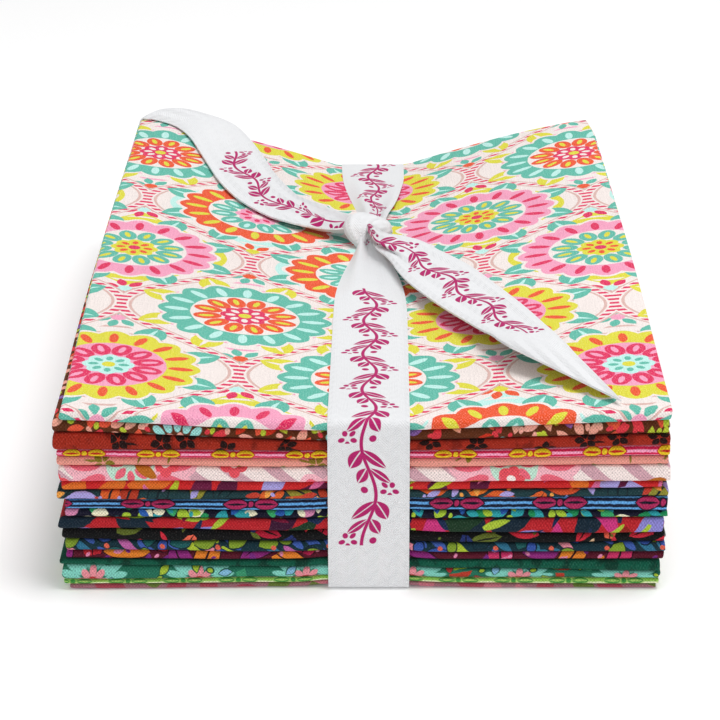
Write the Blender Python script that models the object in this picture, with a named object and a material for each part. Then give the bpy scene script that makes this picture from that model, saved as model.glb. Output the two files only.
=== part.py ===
"""A fat quarter bundle: eighteen folded quarters of quilting cotton, tied once with cotton tape.

Metres, +Z up. The origin is the middle of the underside, at table level. Every quarter's long
front fold faces -Y and its raw edges face +Y. Each quarter is one folded section: two legs, four
layers of cloth in each, joined round the front fold. The tape is one piece: a band round the
stack, a knot on top and two free tails.
"""

import math
from collections import namedtuple

import bmesh
import bpy
import numpy as np
from mathutils import Matrix, Vector

MM = 0.001

# The folded quarter: a quarter of 22 in wide, half of 18 in deep
WIDTH = 0.140
DEPTH = 0.229
FRONT = -DEPTH / 2
BACK = DEPTH / 2

# The stack, at its corners and where the tape pulls it down
CORNER_FRONT = 0.0462
CORNER_BACK = 0.0454
PINCH_FRONT = 0.0028
PINCH_BACK = 0.0145
PULL_IN = 0.0016  # how far the tape pulls the folds in, front and back
NEXT_QUARTER = 0.00035  # clear space between quarters
INSIDE_SHARE = 0.15  # of a quarter's height, left open inside its fold
NOSE = 0.0013  # how far the rounded fold reaches past the flat legs
NOSE_STEPS = 4
NOSE_ASKEW = 0.0004
BACK_ASKEW = 0.0012
BACK_STAGGER = 0.2  # how much of the ends' stagger at the front is left at the back
BACK_NARROWER = 0.0003  # at each end

# The stack's sections from its middle outwards: distance, share of the pinch, and share of the
# shallow channel that the tape makes in the underside
Section = namedtuple("Section", "across pinch channel")
SECTIONS = (
    Section(0.012, 0.98, 1),
    Section(0.018, 0.91, 0),
    Section(0.032, 0.67, 0),
    Section(0.050, 0.30, 0),
    Section(0.074, 0.00, 0),
)
ACROSS = tuple(s.across for s in SECTIONS)
LEG_LINES = (-0.069, -0.023, 0.023, 0.069)  # Y of the cross lines that all legs share

# Quarters from the top down, in millimetres: height at the left and right front corners (brought
# to the stack's height), how far each end sticks out past the nominal width, and the cloth's colour
Quarter = namedtuple("Quarter", "left right left_out right_out colour")
QUARTERS = (
    Quarter(2.8, 2.7, 0.0, 0.4, "EDE3DE"),
    Quarter(3.5, 3.7, 1.9, -0.2, "5B3018"),
    Quarter(3.5, 2.6, 1.8, 0.2, "9E2B18"),
    Quarter(2.5, 3.2, 1.2, 0.3, "C41F4A"),
    Quarter(2.3, 2.5, 1.3, 0.0, "DE8D7C"),
    Quarter(3.6, 3.7, 1.0, 0.4, "E3B6C0"),
    Quarter(2.5, 2.0, 0.4, -1.2, "C0243A"),
    Quarter(2.1, 2.0, 1.6, 0.3, "8C82C0"),
    Quarter(2.5, 3.6, -0.4, 0.2, "232F4E"),
    Quarter(2.3, 2.1, 0.0, 0.3, "15152A"),
    Quarter(2.6, 3.2, 1.3, -0.5, "B02038"),
    Quarter(3.1, 3.0, 0.7, -0.1, "141414"),
    Quarter(2.9, 2.6, 0.1, 0.0, "1C3A46"),
    Quarter(2.1, 2.0, -0.1, 0.0, "2C4A28"),
    Quarter(2.0, 2.7, 1.7, -1.0, "14694A"),
    Quarter(3.3, 2.1, 0.9, -0.9, "2F7C5C"),
    Quarter(2.0, 2.0, 0.9, -1.1, "A9C66E"),
    Quarter(2.0, 2.0, -0.5, -1.6, "A88A80"),
)

# The tape
TAPE_WIDTH = 0.019
TAPE = 0.001
TAPE_ON_CLOTH = 0.0003
TAPE_OFF_ENDS = 0.0006  # past the stack's front and back
BAND_X_FRONT = 0.0008
BAND_X_BACK = 0.0015
BAND_CORNER = 0.0025
BAND_COLUMNS = 4
CORNER_STEPS = 4
CHANNEL = TAPE + 0.00035
KNOT_Y = 0.031
KNOT_HALF = (0.0078, 0.0068, 0.0034)
KNOT_BAND_WIDTH = 0.005
GATHER_FRONT = 0.048  # length over which the band gathers, in front of the knot and behind it
GATHER_BACK = 0.060
BAND_END = 0.0008  # from the knot's middle, inside the knot
TAIL_COLUMNS = 3
TAIL_STEPS = 3

# The tails' two selvedges from the knot outwards, in millimetres: place, and height over the
# cloth's top surface, which goes on past the back edge as a guide for what hangs there
Row = namedtuple("Row", "near_x near_y near_up far_x far_y far_up")
RIGHT_TAIL = (
    Row(0.5, 26.0, 3.2, 1.5, 33.0, 4.2),
    Row(2.2, 14.0, 3.2, 5.0, 22.0, 4.2),
    Row(4.2, 6.0, 3.4, 10.5, 18.0, 4.0),
    Row(7.0, -3.0, 3.4, 17.0, 12.0, 3.2),
    Row(11.0, -19.0, 3.4, 27.0, -4.0, 1.8),
    Row(18.4, -41.0, 3.8, 34.5, -24.0, 1.0),
    Row(26.0, -60.0, 4.2, 41.0, -44.0, 0.8),
    Row(30.5, -72.0, 5.0, 47.0, -66.0, 0.8),
    Row(34.5, -84.0, 6.0, 59.0, -111.0, 0.8),
)
LEFT_TAIL = (
    Row(-2.0, 29.0, 3.0, -1.0, 36.0, 4.0),
    Row(-12.9, 32.6, 1.4, -11.0, 45.0, 4.2),
    Row(-22.6, 36.7, 0.8, -19.0, 52.0, 4.2),
    Row(-34.0, 45.0, 0.8, -23.5, 61.0, 4.2),
    Row(-43.0, 61.0, 0.8, -26.5, 72.0, 4.0),
    Row(-49.0, 81.0, 1.0, -31.0, 90.0, 4.0),
    Row(-55.0, 99.0, 1.4, -38.5, 109.0, 4.4),
    Row(-61.5, 108.0, 2.0, -47.5, 121.5, 4.4),
    Row(-67.0, 113.0, 2.4, -54.5, 127.0, 3.6),
    Row(-70.0, 118.5, -0.5, -58.5, 132.0, -1.0),
    Row(-71.0, 121.5, -9.0, -60.0, 135.0, -8.0),
    Row(-71.0, 123.0, -25.0, -60.0, 136.0, -20.0),
)

SMOOTH_ANGLE = math.radians(40)


def linear_colour(code):
    """The linear colour of a six-letter sRGB code, with alpha."""
    values = [int(code[i : i + 2], 16) / 255 for i in (0, 2, 4)]
    return (*(v / 12.92 if v <= 0.04045 else ((v + 0.055) / 1.055) ** 2.4 for v in values), 1.0)


def material(name, code, roughness):
    """A plain cloth material."""
    made = bpy.data.materials.new(name)
    made.use_nodes = True
    shader = made.node_tree.nodes["Principled BSDF"]
    shader.inputs["Base Color"].default_value = linear_colour(code)
    shader.inputs["Roughness"].default_value = roughness
    shader.inputs["Metallic"].default_value = 0.0
    return made


def of_section(x, column):
    """A column of SECTIONS at a distance from the middle, straight between sections."""
    return float(np.interp(abs(x), ACROSS, [getattr(s, column) for s in SECTIONS]))


def top_height(x, y):
    """The height of the stack's top surface."""
    along = (y - FRONT) / DEPTH
    corner = CORNER_FRONT + (CORNER_BACK - CORNER_FRONT) * along
    pinch = PINCH_FRONT + (PINCH_BACK - PINCH_FRONT) * along
    return corner - pinch * of_section(x, "pinch")


def level(shares, x, y):
    """The height of a level in the stack, from its shares of the height at the left and right."""
    left, right = shares
    share = left + (right - left) * (x / WIDTH + 0.5)
    low = CHANNEL * of_section(x, "channel")
    return low + share * (top_height(x, y) - low)


def levels():
    """Each quarter's (lower, upper) levels from the top down, as shares of the stack's height."""
    left = np.cumsum([0] + [q.left for q in reversed(QUARTERS)])
    right = np.cumsum([0] + [q.right for q in reversed(QUARTERS)])
    pairs = list(zip(left / left[-1], right / right[-1]))
    return list(zip(pairs, pairs[1:]))[::-1]


def split_along(bm):
    """Splits each four-sided face on the diagonal that runs the same way on every leg, so that
    facing surfaces of neighbours stay parallel."""
    way = Vector((1, 1, 0))
    for face in list(bm.faces):
        if len(face.verts) != 4:
            continue
        corners = face.verts[:]
        pairs = (corners[0], corners[2]), (corners[1], corners[3])
        start, end = max(pairs, key=lambda pair: abs((pair[0].co - pair[1].co).dot(way)))
        bmesh.utils.face_split(face, start, end)


def sheet(name, columns, rows, place):
    """A closed sheet: a grid with a second skin, its points set by place(column, row, outer)."""
    bm = bmesh.new()
    bmesh.ops.create_grid(bm, x_segments=columns, y_segments=rows, size=0.5)
    grown = bmesh.ops.extrude_face_region(bm, geom=bm.faces[:], use_keep_orig=True)
    outer = {v for v in grown["geom"] if isinstance(v, bmesh.types.BMVert)}
    for vertex in bm.verts:
        column = round((vertex.co.x + 0.5) * columns)
        row = round((vertex.co.y + 0.5) * rows)
        vertex.co = place(column, row, vertex in outer)
    bmesh.ops.recalc_face_normals(bm, faces=bm.faces)
    split_along(bm)
    mesh = bpy.data.meshes.new(name)
    bm.to_mesh(mesh)
    bm.free()
    mesh.shade_smooth()
    mesh.set_sharp_from_angle(angle=SMOOTH_ANGLE)
    return bpy.data.objects.new(name, mesh)


def end(out, y):
    """How far an end of a quarter is from the stack's middle. The ends line up towards the back."""
    along = (y - FRONT) / DEPTH
    return WIDTH / 2 + out * MM * (1 - (1 - BACK_STAGGER) * along) - BACK_NARROWER * along


def quarter_section(shares_low, shares_high, across, front, back, lowest, outer):
    """The points of a folded quarter's section, from the lower raw edge round the front. Its place
    across is a function of Y."""
    pull = PULL_IN * of_section(across(front), "pinch")
    bend = front + pull + NOSE
    lines = [back - pull, *reversed(LEG_LINES), bend]

    def heights(y):
        x = across(y)
        low = level(shares_low, x, y) + (0 if lowest else NEXT_QUARTER / 2)
        high = level(shares_high, x, y) - NEXT_QUARTER / 2
        if outer:
            return low, high
        middle, half = (low + high) / 2, (high - low) * INSIDE_SHARE / 2
        return middle - half, middle + half

    low, high = heights(bend)
    reach = NOSE if outer else NOSE * INSIDE_SHARE
    turn = [math.pi * step / NOSE_STEPS for step in range(1, NOSE_STEPS)]
    middle, half, x = (low + high) / 2, (high - low) / 2, across(bend)
    nose = [(x, bend - reach * math.sin(a), middle - half * math.cos(a)) for a in turn]
    lower_leg = [(across(y), y, heights(y)[0]) for y in lines]
    upper_leg = [(across(y), y, heights(y)[1]) for y in reversed(lines)]
    return lower_leg + nose + upper_leg


def folded_quarter(index, quarter, shares_low, shares_high):
    """One folded quarter. Index 0 is the top of the stack."""
    inner = [*(-a for a in reversed(ACROSS[:-1])), *ACROSS[:-1]]
    stations = [
        lambda y: -end(quarter.left_out, y),
        *((lambda y, x=x: x) for x in inner),
        lambda y: end(quarter.right_out, y),
    ]
    front = FRONT + NOSE_ASKEW * math.sin(2.3 * index)
    back = BACK + BACK_ASKEW * math.sin(1.7 * index + 0.6)
    lowest = index == len(QUARTERS) - 1
    shared = (shares_low, shares_high)
    sections = {
        outer: [quarter_section(*shared, across, front, back, lowest, outer) for across in stations]
        for outer in (False, True)
    }

    def place(column, row, outer):
        return sections[outer][column][row]

    made = sheet(f"quarter_{index + 1:02d}", len(stations) - 1, len(sections[True][0]) - 1, place)
    made.data.materials.append(material(f"cloth_{index + 1:02d}", quarter.colour, 0.9))
    return made


def arc(centre, radius, start, end):
    """Points (y, z) of a quarter turn, angles in degrees from +Y towards +Z."""
    angles = np.radians(np.linspace(start, end, CORNER_STEPS + 1))
    return [(centre[0] + radius * math.cos(a), centre[1] + radius * math.sin(a)) for a in angles]


def on_top(y):
    """The height of the band's underside on the stack."""
    return top_height(0, y) + TAPE_ON_CLOTH


def band_path(outer):
    """The band's section (y, z) from the knot over the front, under the stack and back on top."""
    grow = TAPE if outer else 0
    radius = BAND_CORNER
    front = FRONT - TAPE_OFF_ENDS + radius
    back = BACK + TAPE_OFF_ENDS - radius
    front_run = np.linspace(KNOT_Y - BAND_END, front, 12)
    back_run = np.linspace(back, KNOT_Y + BAND_END, 8)
    under = np.linspace(front, back, 6)[1:-1]
    return [
        *((y, on_top(y) + grow) for y in front_run[:-1]),
        *arc((front, on_top(front) - radius), radius + grow, 90, 180),
        *arc((front, TAPE + radius), radius + grow, 180, 270),
        *((y, TAPE - grow) for y in under),
        *arc((back, TAPE + radius), radius + grow, 270, 360),
        *arc((back, on_top(back) - radius), radius + grow, 0, 90),
        *((y, on_top(y) + grow) for y in back_run[1:]),
    ]


def gathered(y, height):
    """The band's width: drawn in near the knot on the top of the stack."""
    if height < top_height(0, y) - BAND_CORNER:
        return TAPE_WIDTH
    reach = GATHER_FRONT if y < KNOT_Y else GATHER_BACK
    share = min(abs(y - KNOT_Y) / reach, 1)
    return KNOT_BAND_WIDTH + (TAPE_WIDTH - KNOT_BAND_WIDTH) * share * share * (3 - 2 * share)


def band():
    """The tape round the stack. Its two ends lie inside the knot."""
    paths = {outer: band_path(outer) for outer in (False, True)}

    def place(column, row, outer):
        y, z = paths[outer][row]
        middle = BAND_X_FRONT + (BAND_X_BACK - BAND_X_FRONT) * (y - FRONT) / DEPTH
        width = gathered(*paths[False][row])
        return middle + width * (column / BAND_COLUMNS - 0.5), y, z

    made = sheet("ribbon", BAND_COLUMNS, len(paths[True]) - 1, place)
    made.data.materials.append(material("tape", "F2F0EC", 0.85))
    return made


def smooth_rows(rows):
    """Points between the rows of a table, on a smooth curve through them."""
    table = np.array(rows) * MM
    table = np.vstack([2 * table[0] - table[1], table, 2 * table[-1] - table[-2]])
    made = []
    for before, start, end, after in zip(table, table[1:], table[2:], table[3:]):
        for t in np.arange(TAIL_STEPS) / TAIL_STEPS:
            bend = (2 * before - 5 * start + 4 * end - after) * t**2
            twist = (3 * (start - end) + after - before) * t**3
            made.append(start + ((end - before) * t + bend + twist) / 2)
    return [*made, table[-2]]


def tail(name, rows, side):
    """A free tail of the tape, between its two selvedges. Its near selvedge is on the left as it
    leaves the knot if side is 1, and on the right if it is -1."""
    between = smooth_rows(rows)
    near = [Vector((r[0], r[1], top_height(r[0], r[1]) + r[2])) for r in between]
    far = [Vector((r[3], r[4], top_height(r[3], r[4]) + r[5])) for r in between]
    last = len(between) - 1

    def place(column, row, outer):
        point = near[row].lerp(far[row], column / TAIL_COLUMNS)
        ahead = (near[min(row + 1, last)] + far[min(row + 1, last)]) / 2
        behind = (near[max(row - 1, 0)] + far[max(row - 1, 0)]) / 2
        up = (ahead - behind).cross(near[row] - far[row]) * side
        return point + up.normalized() * (TAPE if outer else 0)

    return sheet(name, TAIL_COLUMNS, last, place)


def knot():
    """The knot: a flattened ball round the ends of the band and the tails."""
    bm = bmesh.new()
    bmesh.ops.create_uvsphere(bm, u_segments=16, v_segments=10, radius=1)
    bmesh.ops.scale(bm, vec=KNOT_HALF, verts=bm.verts)
    middle = on_top(KNOT_Y - KNOT_HALF[1]) + KNOT_HALF[2]
    bmesh.ops.transform(bm, matrix=Matrix.Translation((BAND_X_FRONT, KNOT_Y, middle)), verts=bm.verts)
    mesh = bpy.data.meshes.new("knot")
    bm.to_mesh(mesh)
    bm.free()
    mesh.shade_smooth()
    return bpy.data.objects.new("knot", mesh)


def joined(target, others, collection):
    """Joins the others to the target with unions, and keeps them as guides."""
    for other in others:
        collection.objects.link(other)
        other.hide_render = True
        other.display_type = "WIRE"
        union = target.modifiers.new(f"with_{other.name}", "BOOLEAN")
        union.operation = "UNION"
        union.solver = "EXACT"
        union.object = other


def build():
    for old in list(bpy.data.objects):
        bpy.data.objects.remove(old)
    bundle = bpy.data.collections.new("fat_quarter_bundle")
    guides = bpy.data.collections.new("tape_joins")
    for collection in (bundle, guides):
        bpy.context.scene.collection.children.link(collection)
    for index, (quarter, (low, high)) in enumerate(zip(QUARTERS, levels())):
        bundle.objects.link(folded_quarter(index, quarter, low, high))
    tape = band()
    bundle.objects.link(tape)
    joined(tape, [knot(), tail("tail_right", RIGHT_TAIL, -1), tail("tail_left", LEFT_TAIL, 1)], guides)


build()
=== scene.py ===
"""The looks of a fat quarter bundle: folded printed cottons tied with herringbone cotton tape.

Every quarter is one sheet of cloth, folded in four across and in two along, in the place of its
solid. Prints are laid out in the flat cloth's own millimetres, so they run on round each fold.
"""

import math
from collections import namedtuple
from functools import partialmethod

import bpy
import numpy as np
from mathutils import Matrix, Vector


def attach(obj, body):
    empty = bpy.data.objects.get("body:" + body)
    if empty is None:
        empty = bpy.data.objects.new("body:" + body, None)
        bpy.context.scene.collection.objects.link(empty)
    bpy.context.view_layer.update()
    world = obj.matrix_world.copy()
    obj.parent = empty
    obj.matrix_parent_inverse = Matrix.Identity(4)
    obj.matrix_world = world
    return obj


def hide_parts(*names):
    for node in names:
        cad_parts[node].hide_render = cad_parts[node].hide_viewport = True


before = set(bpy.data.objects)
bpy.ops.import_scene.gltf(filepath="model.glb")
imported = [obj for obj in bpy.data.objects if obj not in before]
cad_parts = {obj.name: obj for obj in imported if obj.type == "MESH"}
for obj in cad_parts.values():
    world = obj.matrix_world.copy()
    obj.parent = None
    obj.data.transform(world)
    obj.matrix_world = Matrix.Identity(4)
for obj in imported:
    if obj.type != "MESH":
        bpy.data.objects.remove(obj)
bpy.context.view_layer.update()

# Lengths are in metres, or in millimetres where a comment says so
MM = 0.001
PER_METRE = 1000

# The cloth, cut and folded
CUT_WIDTH = 0.559
CUT_DEPTH = 0.457
WIDTH = 0.140
DEPTH = 0.229
FRONT = -DEPTH / 2
BACK = DEPTH / 2
LAYERS = 8
CLOTH_SHARE = 0.80  # of a layer's pitch that is cloth
OUTER_FACE = (LAYERS - 1 + CLOTH_SHARE) / 2  # layers from the middle of a fold to its outside
NEXT_QUARTER = 0.00006  # the gap between two quarters, beside their layers' own

# The stack at its corners, and where the tape pulls it down and in
CORNER_FRONT = 0.0462
CORNER_BACK = 0.0454
PINCH_FRONT = 0.0033
PINCH_BACK = 0.0145
PINCH_REACH = 0.078
VALLEY_FLOOR, VALLEY_REACH = 0.0098, 0.068  # from the tape's middle, at the back
VALLEY_EASE = 1.3
DIP_BELOW = 0.22  # the low quarters' share of the dip at the front
DIP_FADES = 0.2  # share of the height under which even that dies out
DIP_STARTS, DIP_WHOLE = 0.72, 0.94  # shares of the height between which it grows to all
DIP_EASE = 1.2
FLAT_MIDDLE = 0.002
PULL_IN = 0.0008
END_BULGE = (0.0012, 0.0009)  # how far the left and right ends bow out halfway to the back
END_EASE = 1.5
RIPPLE = 0.00012
RIPPLE_WAVES = 5
RIPPLE_ACROSS, RIPPLE_ALONG = 90, 45  # the most radians a metre
NOSE = 0.0011  # how far the rounded front fold reaches past the flat legs
FREE_REACH = 0.004  # how far the folds may stand out past the tape, away from it
BACK_STAGGER = 0.2
BACK_NARROWER = 0.0003
CORNER_REACH = 0.009  # how far a fold's back corner is rounded, along it and across

# How far the folds across reach past the flat panels
LEFT_BEND = 0.00075
INNER_LEFT_BEND = 0.00028
RIGHT_BEND = 0.00035

# Waves along the front fold: height, least and most radians a metre
FOLD_WAVES = ((0.00016, 60, 150), (0.00007, 250, 420))

# Drawn at random for each quarter: least and most, in millimetres
RAW_ENDS = (-0.9, 0.5)  # where the ends across stop, past the right fold
ASKEW = (-0.8, 0.8)  # the raw edges at the back, fold by fold
SLIDE = (-0.4, 0.2)  # the lower leg to the right
DRAWN_IN = (0.0, 0.7)  # the upper leg's left and right ends at the back
ROUNDED = (0.3, 1.1)  # the right folds at their back corner
TOP_DRAWN_IN, TOP_ROUNDED = (0.4, 1.2), 1.0  # the top quarter's own
RIPPLE_SEED, QUARTER_SEED = 100, 40

# Mesh steps and points, DOWN to HOME along the band
ACROSS_STEPS = 30
OUTER_FOLD_STEPS = 8
INNER_FOLD_STEPS = 5
LEG_STEPS = 20
NOSE_STEPS = 10
DOWN_POINTS, DROP_POINTS, UNDER_POINTS, RISE_POINTS, HOME_POINTS = 44, 14, 26, 10, 30
TAPE_CORNER_POINTS = 7
TAPE_COLUMNS = 28
TAIL_STEPS = 9
KNOT_POINTS = 33
OVER_KNOT_STEPS = 6
STRAND_POINTS = 61

# The tape
TAPE_WIDTH = 0.019
TAPE = 0.00045
TAPE_FRONT = FRONT + 0.0003
TAPE_BACK = BACK + 0.0002
TAPE_CORNER = 0.0016
TAPE_LIFT = 0.00005  # from the cloth to the band on top of it
TABLE_GAP = 0.00002  # from the underside to the floor, and up to the band
CHANNEL = 0.00060
CHANNEL_HALF = 0.0105
CHANNEL_RAMP = 0.005
BAND_X_FRONT = 0.0008
BAND_X_BACK = 0.0021
ROOT_CROWN, ROOT_REACH = 0.0013, 0.016  # how the band's middle stands up beside the knot
HALF_UP = 0.02  # a height between the band's top and its underside
PLAIN_EDGE = 1.9 * MM  # the width beside each selvedge that nothing is printed on
TUCK_REACH = 0.034  # how far along the right tail its near selvedge is folded under
OVER_EDGE, OVER_RAMP = 0.085, 0.020  # where along the left tail its crown rises, over the edge
OVER_CROWN = 0.0027

# The knot
KNOT_Y = 0.031
KNOT_HALF = 0.0068
KNOT_GAP = 0.001  # from its middle to the band's ends inside it
KNOT_LIE = math.radians(16)
KNOT_BACK, KNOT_UP = 0.0006, 0.0033  # the middle of the bundle that lies across
KNOT_LONG, KNOT_WIDE, KNOT_TALL = 0.0063, 0.0050, 0.0030  # half the bundle's size
STRAND_FROM, STRAND_TO = -100, 255  # degrees round a strand, from one selvedge to the other
STRAND_RADIUS = 0.0045  # by which its print is laid out

# Where along the printed tape each part starts
RIGHT_TAIL_START, LEFT_TAIL_START = 0.5775, 0.9455
KNOT_START, OVER_KNOT_START = 0.4, 0.3

# Pleats: how many across the tape, their share of full depth, where they start and how far they
# wander sideways along it, in radians
Pleats = namedtuple("Pleats", "count depth phase wander")
BAND_PLEATS = Pleats(1.6, 0.4, 3.2, 0.3)
TAIL_PLEATS = Pleats(2, 0.55, 0.5, 1.1)

# A lengthwise tuck beside the near selvedge: share of the tape's width, its place between the
# selvedges, and its height in millimetres
TUCK = ((0.0, 0.05, 0.0), (0.24, 0.36, 0.25), (0.38, 0.17, 1.5), (0.68, 0.58, 2.3), (1.0, 1.0, 0.7))

# Quarters from the top down, in millimetres: height at the left and right front corners, how far
# each end sticks out past the nominal width, how far the front fold and the raw edges stand out
Quarter = namedtuple("Quarter", "left right left_out right_out fold_out raw_out")
QUARTERS = [Quarter(*row) for row in (
    (2.65, 2.45, 0.0, 0.4, 0.2, 0.3),
    (3.3, 3.75, 1.9, -0.2, -0.3, -0.4),
    (3.55, 2.9, 1.8, 0.2, 0.3, 0.6),
    (2.35, 2.8, 1.2, 0.3, 0.0, -0.2),
    (2.2, 2.3, 1.3, 0.0, -0.2, 0.9),
    (3.7, 3.8, 1.0, 0.4, 0.1, -0.6),
    (2.45, 1.85, 0.4, -1.2, -0.4, 0.2),
    (1.95, 1.75, 1.6, 0.3, 0.1, 0.5),
    (2.5, 3.6, -0.4, 0.2, 0.2, -0.5),
    (2.2, 2.1, 0.0, 0.3, -0.1, 0.1),
    (2.4, 3.65, 1.3, -0.5, 0.4, 0.8),
    (3.0, 2.6, 0.7, -0.1, 0.0, -0.3),
    (2.7, 2.3, 0.1, 0.0, 0.2, 0.4),
    (2.2, 1.9, -0.1, 0.0, -0.3, -0.7),
    (1.4, 2.75, 1.7, -1.0, 0.3, 0.7),
    (3.6, 2.1, 0.9, -0.9, 0.1, 0.0),
    (1.35, 1.5, 0.9, -1.1, 0.0, 0.5),
    (1.4, 1.4, -0.5, -1.6, -0.4, -0.4),
)]

# The tails from the knot outwards, in millimetres: the near selvedge's place and its height over
# the cloth, then the far one's
RIGHT_TAIL = (
    (0.5, 26.0, 3.2, 1.5, 33.0, 4.2),
    (2.2, 14.0, 3.2, 5.0, 22.0, 4.2),
    (4.2, 6.0, 3.4, 10.5, 18.0, 4.2),
    (7.0, -3.0, 3.4, 17.0, 12.0, 3.1),
    (11.0, -19.0, 3.5, 27.0, -4.0, 1.4),
    (18.4, -41.0, 3.7, 34.5, -24.0, 0.7),
    (26.0, -60.0, 4.1, 41.0, -44.0, 0.6),
    (30.5, -72.0, 4.9, 47.0, -66.0, 0.7),
    (34.5, -84.0, 5.9, 59.0, -111.0, 0.8),
)
LEFT_TAIL = (
    (-2.0, 29.0, 3.0, -1.0, 36.0, 4.0),
    (-12.9, 32.6, 0.9, -11.0, 45.0, 3.9),
    (-22.6, 36.7, 0.5, -17.5, 54.0, 3.0),
    (-34.5, 47.5, 0.5, -22.5, 65.0, 2.4),
    (-42.0, 62.0, 0.5, -27.0, 78.0, 2.0),
    (-48.6, 84.0, 0.5, -31.5, 95.0, 1.7),
    (-53.0, 99.0, 0.5, -35.8, 107.5, 1.8),
    (-57.5, 108.5, 0.2, -40.5, 117.5, 1.7),
    (-62.5, 112.6, 0.0, -46.5, 121.6, 1.2),
    (-67.0, 114.2, -0.1, -51.5, 124.2, 0.4),
    (-69.6, 115.8, -1.4, -54.6, 125.2, -2.0),
    (-70.3, 116.7, -10.0, -56.8, 125.0, -12.0),
    (-70.6, 116.6, -24.6, -57.4, 122.8, -22.9),
)

# The strand drawn over the knot, from behind it to where the band leaves it, in millimetres:
# place, height over the cloth, and half its width and its thickness
OVER_KNOT = (
    (5.4, 38.8, 1.2, 3.4, 1.2),
    (3.4, 37.4, 3.2, 4.6, 1.8),
    (0.9, 34.8, 4.7, 5.3, 2.3),
    (-1.0, 31.6, 5.0, 5.0, 2.5),
    (-1.9, 28.6, 4.2, 4.0, 2.2),
    (-2.0, 26.6, 2.9, 2.8, 1.7),
    (-1.6, 25.4, 1.7, 1.8, 1.2),
    (-1.2, 24.6, 0.7, 1.3, 0.7),
)

# Where the band is gathered, in millimetres: distance from the knot, width, shift to the right
GATHER_FRONT = (
    (0, 2.4, -2.4),
    (5, 2.8, -2.3),
    (8, 4.8, -2.0),
    (12, 7.0, -1.6),
    (16, 8.9, -1.1),
    (22, 11.2, -0.8),
    (27, 12.8, -0.7),
    (37, 16.0, -0.4),
    (51, 18.5, -0.2),
    (62, 19.0, 0.0),
)
GATHER_BACK = (
    (0, 4.5, 0.4),
    (10, 5.5, 0.5),
    (23, 7.6, 0.6),
    (30, 10.2, 0.9),
    (40, 13.3, 0.8),
    (48, 15.3, 0.6),
    (63, 18.4, 0.3),
    (78, 19.0, 0.0),
)


# ---- the stack's surfaces


def smooth(t):
    t = np.clip(t, 0, 1)
    return t * t * (3 - 2 * t)


def pinch_share(x):
    """How much of the tape's pull is felt at a place across, at the front."""
    reach = np.clip(np.abs(x) - FLAT_MIDDLE, 0, PINCH_REACH)
    return np.cos(math.pi / 2 * reach / PINCH_REACH) ** 2


def valley_share(x):
    """The same at the back, where the sides of the dip run straighter down to the tape."""
    aside = np.abs(x - BAND_X_BACK)
    return np.clip((VALLEY_REACH - aside) / (VALLEY_REACH - VALLEY_FLOOR), 0, 1) ** VALLEY_EASE


def corner_height(along):
    return CORNER_FRONT + (CORNER_BACK - CORNER_FRONT) * along


def dip(x, along):
    """How far the tape pulls the top of the stack down."""
    deep = PINCH_FRONT + (PINCH_BACK - PINCH_FRONT) * along
    return deep * (pinch_share(x) + (valley_share(x) - pinch_share(x)) * along)


def top_height(x, y):
    along = (y - FRONT) / DEPTH
    return corner_height(along) - dip(x, along)


def channel(x):
    """The height of the shallow channel in the underside that the band lies in."""
    return CHANNEL * (1 - smooth((np.abs(x) - CHANNEL_HALF) / CHANNEL_RAMP))


def ripple(index, x, y):
    """A slow unevenness of the surface under one quarter, none under the tape."""
    rng = np.random.default_rng(RIPPLE_SEED + index)
    made = 0
    for _ in range(RIPPLE_WAVES):
        across = rng.uniform(-RIPPLE_ACROSS, RIPPLE_ACROSS)
        along = rng.uniform(-RIPPLE_ALONG, RIPPLE_ALONG)
        made = made + np.sin(across * x + along * y + rng.uniform(0, 2 * math.pi))
    return RIPPLE * made * (1 - pinch_share(x))


def share_below(index):
    """How much of the stack's height lies below a quarter's top, at the left and the right."""
    heights = ([q.left for q in QUARTERS], [q.right for q in QUARTERS])
    return [sum(side[index:]) / sum(side) for side in heights]


def surface(index, x, y):
    """The surface on top of a quarter, 0 being the top one. One past the last is the underside.
    At the front only the quarters near the top follow the tape down, at the back they all do."""
    left, right = share_below(index)
    share = left + (right - left) * (x / WIDTH + 0.5)
    underside = channel(x)
    along = (y - FRONT) / DEPTH
    near_top = np.clip((share - DIP_STARTS) / (DIP_WHOLE - DIP_STARTS), 0, 1) ** DIP_EASE
    in_front = DIP_BELOW * smooth(share / DIP_FADES) + (1 - DIP_BELOW) * near_top
    follows = share + (in_front - share) * (1 - along) ** 2
    made = underside + share * (corner_height(along) - underside) - dip(x, along) * follows
    return made + ripple(index, x, y) if 0 < index < len(QUARTERS) else made


# ---- meshes


def unit(v):
    return v / np.maximum(np.linalg.norm(v, axis=-1, keepdims=True), 1e-12)


def flat_distance(*columns):
    """How far along a path its points are."""
    step = np.sqrt(sum(np.diff(c) ** 2 for c in columns))
    return np.concatenate([[0], np.cumsum(step)])


def quads(rows, columns, start, flip):
    """The faces of a grid whose points are numbered from start, row by row."""
    index = start + np.arange(rows * columns).reshape(rows, columns)
    a, b, c, d = index[:-1, :-1], index[1:, :-1], index[1:, 1:], index[:-1, 1:]
    made = np.stack([a, b, c, d], -1).reshape(-1, 4)
    return made[:, ::-1] if flip else made


def rim(rows, columns, count):
    """The faces that join two skins round a grid's edge. The second's points start at count."""
    index = np.arange(rows * columns).reshape(rows, columns)
    edge = np.concatenate([index[:-1, 0], index[-1, :-1], index[:0:-1, -1], index[0, :0:-1]])
    ahead = np.roll(edge, -1)
    return np.stack([edge, edge + count, ahead + count, ahead], -1)


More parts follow.
